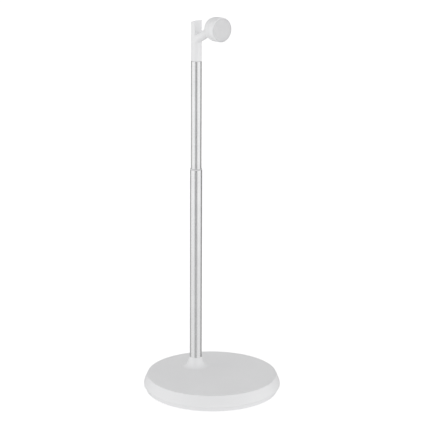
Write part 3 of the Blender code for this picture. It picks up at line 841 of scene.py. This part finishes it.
def build_head_screw():
    """The button head on the back of the pole, with its hexagon socket."""
    centre = (0, POLE_Y, HEAD_SCREW_Z)
    turn = Matrix.Rotation(math.radians(-90), 4, "X")
    base = size_of("upper_tube")[0] + 0.25
    corners = [(0, HEAD_SCREW_END, 0), (SCREW_RADIUS, HEAD_SCREW_END, 0.2), (SCREW_RADIUS, base, 0)]
    corners += [(HEAD_SCREW_BUTTON, base, 0.1), (HEAD_SCREW_BUTTON, base + 0.6, 0.4)]
    corners += [(1.7, base + 1.3, 0.6), (0, base + 1.4, 0)]
    screw = turned(
        "stop_screw", rounded(corners, 5, False), "upper_pole", "plain_steel",
        ["head_screw"], centre, turn, closed=False, segments=48,
    )
    hexagon = upright(HEXAGON_RADIUS, base + 0.4, base + 3, sides=6)
    place = Matrix.Translation(Vector(centre) * MM) @ turn
    bmesh.ops.transform(hexagon, matrix=place, verts=hexagon.verts)
    carve(screw, [hexagon])


build_tubes()
build_bush()
build_mount()
build_tray()
build_feet()
build_tray_screws()
build_head_screw()


# Stage


def add_floor():
    """Pale paper that stays out of reflections and doesn't tint the stand."""
    shape = bmesh.new()
    bmesh.ops.create_circle(shape, cap_ends=True, segments=96, radius=FLOOR_RADIUS)
    mesh = bpy.data.meshes.new("floor")
    shape.to_mesh(mesh)
    shape.free()
    nodes = Nodes("floor_paper")
    nodes.wear((0.86, 0.86, 0.86), (0.87, 0.87, 0.87), 0.9, 0.95, 1.5)
    nodes.shader.inputs["Emission Color"].default_value = (1, 1, 1, 1)
    nodes.shader.inputs["Emission Strength"].default_value = FLOOR_GLOW
    mesh.materials.append(nodes.material)
    floor = bpy.data.objects.new("floor", mesh)
    bpy.context.scene.collection.objects.link(floor)
    floor.visible_glossy = False
    floor.visible_diffuse = False


class LightNodes:
    """Short ways to write a light's pattern as nodes."""

    def __init__(self, tree):
        self.tree = tree

    def math(self, operation, first, second=None):
        node = self.tree.nodes.new("ShaderNodeMath")
        node.operation = operation
        for socket, value in zip(node.inputs, (first, second)):
            if isinstance(value, (int, float)):
                socket.default_value = value
            elif value is not None:
                self.tree.links.new(value, socket)
        return node.outputs[0]

    def ramp(self, value, low, high, start, end):
        """A number that goes smoothly from start to end as the value goes from low to high."""
        node = self.tree.nodes.new("ShaderNodeMapRange")
        node.interpolation_type = "SMOOTHSTEP"
        for socket, number in zip(list(node.inputs)[1:5], (low, high, start, end)):
            socket.default_value = number
        self.tree.links.new(value, node.inputs["Value"])
        return node.outputs["Result"]

    def split(self, output, turn_z):
        """The x, y and z of a place, turned about z."""
        coordinates = self.tree.nodes.new("ShaderNodeTexCoord")
        turn = self.tree.nodes.new("ShaderNodeVectorRotate")
        turn.rotation_type = "Z_AXIS"
        turn.inputs["Angle"].default_value = turn_z
        self.tree.links.new(coordinates.outputs[output], turn.inputs["Vector"])
        parts = self.tree.nodes.new("ShaderNodeSeparateXYZ")
        self.tree.links.new(turn.outputs["Vector"], parts.inputs["Vector"])
        return parts.outputs


def add_studio():
    """Soft light from all round, brighter at the sides than overhead."""
    world = bpy.data.worlds.new("studio")
    bpy.context.scene.world = world
    world.use_nodes = True
    nodes = LightNodes(world.node_tree)
    background = world.node_tree.nodes["Background"]
    background.inputs["Color"].default_value = (1, 1, 1, 1)
    side, _, height = nodes.split("Generated", -CAMERA_AZIMUTH)
    overhead = nodes.ramp(height, 0.0, 0.9, SIDE_LIGHT, OVERHEAD_LIGHT)
    below = nodes.ramp(height, -0.25, 0.0, BOUNCE_LIGHT / SIDE_LIGHT, 1.0)
    sides = nodes.ramp(nodes.math("ABSOLUTE", side), 0.0, 0.9, FRONT_SHARE, 1.0)
    light = nodes.math("MULTIPLY", nodes.math("MULTIPLY", overhead, sides), below)
    world.node_tree.links.new(light, background.inputs["Strength"])
    bpy.context.scene.view_settings.view_transform = "Standard"


def add_tent():
    """A round screen of soft boxes that only shows in reflections, with gaps between its boxes."""
    shape = bmesh.new()
    loops = []
    for height in TENT_HEIGHTS:
        loop = []
        for k in range(TENT_SIDES):
            angle = 2 * math.pi * k / TENT_SIDES
            x, y = TENT_RADIUS * math.cos(angle), TENT_RADIUS * math.sin(angle)
            loop.append(shape.verts.new((x, y, height)))
        loops.append(loop)
    for k in range(TENT_SIDES):
        n = (k + 1) % TENT_SIDES
        shape.faces.new((loops[0][k], loops[0][n], loops[1][n], loops[1][k]))
    mesh = bpy.data.meshes.new("tent")
    shape.to_mesh(mesh)
    shape.free()
    material = bpy.data.materials.new("tent_light")
    material.use_nodes = True
    tree = material.node_tree
    tree.nodes.remove(tree.nodes["Principled BSDF"])
    nodes = LightNodes(tree)
    side, depth, height = nodes.split("Object", -CAMERA_AZIMUTH)
    bearing = nodes.math("ARCTAN2", side, nodes.math("MULTIPLY", depth, -1.0))
    bearing = nodes.math("MULTIPLY", bearing, 180 / math.pi)
    spread = nodes.math("ABSOLUTE", bearing)
    front = nodes.ramp(spread, *FRONT_EDGE, 0.0, 1.0)
    left = nodes.ramp(nodes.math("MULTIPLY", bearing, -1.0), *LEFT_EDGE, 0.0, 1.0)
    right = nodes.ramp(bearing, *RIGHT_EDGE, 0.0, 1.0)
    back = nodes.ramp(spread, *BACK_EDGE, 0.0, 1.0)
    dim_front = nodes.ramp(height, *GAP_HEIGHTS, *FRONT_GLOW)
    dim_left = nodes.ramp(height, *GAP_HEIGHTS, *LEFT_GLOW)
    dim_right = nodes.ramp(height, *GAP_HEIGHTS, *RIGHT_GLOW)
    bright = nodes.ramp(height, *BOX_HEIGHTS, *BOX_GLOW)
    dim_back = nodes.ramp(height, *BOX_HEIGHTS, *BACK_GLOW)

    def mix(share, low, high):
        """Low where the share is 0, high where it is 1."""
        rest = nodes.math("MULTIPLY", low, nodes.math("SUBTRACT", 1.0, share))
        return nodes.math("ADD", rest, nodes.math("MULTIPLY", high, share))

    light = mix(front, dim_front, bright)
    light = mix(left, light, dim_left)
    light = mix(right, light, dim_right)
    light = mix(back, light, dim_back)
    emission = tree.nodes.new("ShaderNodeEmission")
    tree.links.new(light, emission.inputs["Strength"])
    tree.links.new(emission.outputs[0], tree.nodes["Material Output"].inputs["Surface"])
    mesh.materials.append(material)
    tent = bpy.data.objects.new("tent", mesh)
    bpy.context.scene.collection.objects.link(tent)
    tent.location = (0, POLE_Y * MM, 0)
    tent.visible_camera = False
    tent.visible_diffuse = False
    tent.visible_shadow = False
    tent.visible_transmission = False


def hide_base_from_reflections():
    """Leaves the base out of reflections, so that the pole's bands run down to the collar."""
    for piece in bpy.data.objects:
        if piece.type != "MESH":
            continue
        heights = [(piece.matrix_world @ vertex.co).z for vertex in piece.data.vertices]
        if min(heights) > BASE_LOWEST * MM and max(heights) < BASE_HIGHEST * MM:
            piece.visible_glossy = False


add_floor()
add_studio()
add_tent()
hide_base_from_reflections()
